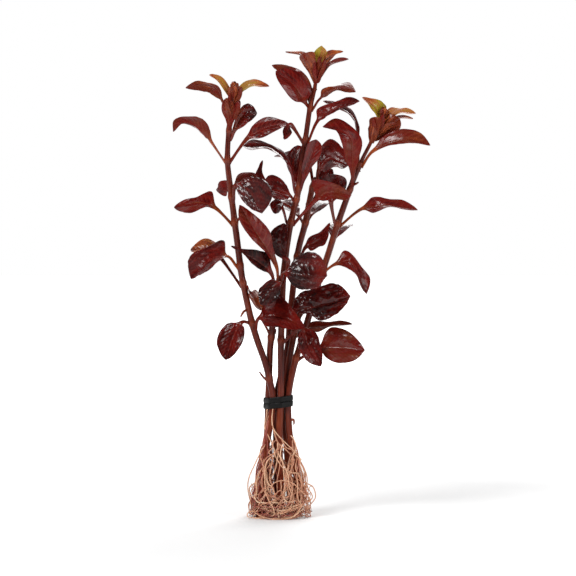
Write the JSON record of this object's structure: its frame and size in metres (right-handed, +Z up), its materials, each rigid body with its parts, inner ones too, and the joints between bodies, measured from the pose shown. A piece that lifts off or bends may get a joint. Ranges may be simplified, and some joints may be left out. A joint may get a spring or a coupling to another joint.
{
  "type": "ludwigia repens bunch",
  "caption": "Tied bunch of red ludwigia cuttings: slender stems with glossy paired leaves, a rubber band low down and a tuft of pale roots it stands on.",
  "frame": {"origin": "on the floor, under the middle of the bunch's outline seen from above", "axes": "+Z up along the stems; -Y towards the viewer of the picture, +X to the viewer's right"},
  "size_m": [0.1276, 0.0641, 0.235],
  "materials": {
    "stem": "satin",
    "leaf": "gloss",
    "young_leaf": "satin",
    "root": "satin",
    "rubber_band": "matte"
  },
  "bodies": {
    "root": {"stem_left": "stem", "stem_middle": "stem", "stem_right": "stem", "stem_back": "stem", "stem_front": "stem", "stem_low": "stem", "leaf_left_1_left": "leaf", "leaf_left_2_front": "leaf", "leaf_left_2_right": "leaf", "leaf_left_3_left": "leaf", "leaf_left_3_right": "leaf", "leaf_left_4_back": "leaf", "leaf_left_4_arch": "leaf", "leaf_left_4_front": "leaf", "leaf_left_5_left": "leaf", "leaf_left_6_left": "leaf", "leaf_left_7_left": "leaf", "leaf_left_7_right": "leaf", "leaf_left_8_left": "leaf", "leaf_left_9_right": "leaf", "leaf_middle_2_left": "leaf", "leaf_middle_2_back": "leaf", "leaf_middle_2_right": "leaf", "leaf_middle_3_left": "leaf", "leaf_middle_3_right": "leaf", "leaf_middle_4_left": "leaf", "leaf_middle_4_upright": "leaf", "leaf_middle_4_back": "leaf", "leaf_middle_5_left": "leaf", "leaf_middle_5_curled": "leaf", "leaf_middle_6_left": "leaf", "leaf_middle_6_right": "leaf", "leaf_middle_8_right": "leaf", "leaf_back_1_right": "leaf", "leaf_back_1_left": "leaf", "leaf_back_2_right": "leaf", "leaf_back_3_right": "leaf", "leaf_back_3_left": "leaf", "leaf_back_5_right": "leaf", "leaf_right_2_left": "leaf", "leaf_right_2_right": "leaf", "leaf_right_3_left": "leaf", "leaf_right_4_left": "leaf", "leaf_right_4_right": "leaf", "leaf_right_5_back": "leaf", "leaf_right_6_right": "leaf", "leaf_right_8_right": "leaf", "leaf_front_1_up": "leaf", "leaf_front_1_left": "leaf", "leaf_front_1_right": "leaf", "leaf_front_1_down": "leaf", "leaf_front_2_up": "leaf", "leaf_low_1_front": "leaf", "leaf_low_1_back": "leaf", "leaf_low_2_right": "leaf", "shoot_tip_left": "young_leaf", "shoot_tip_tall": "young_leaf", "shoot_tip_right": "young_leaf", "rubber_band": "rubber_band", "root_tuft": "root"}
  },
  "joints": []
}
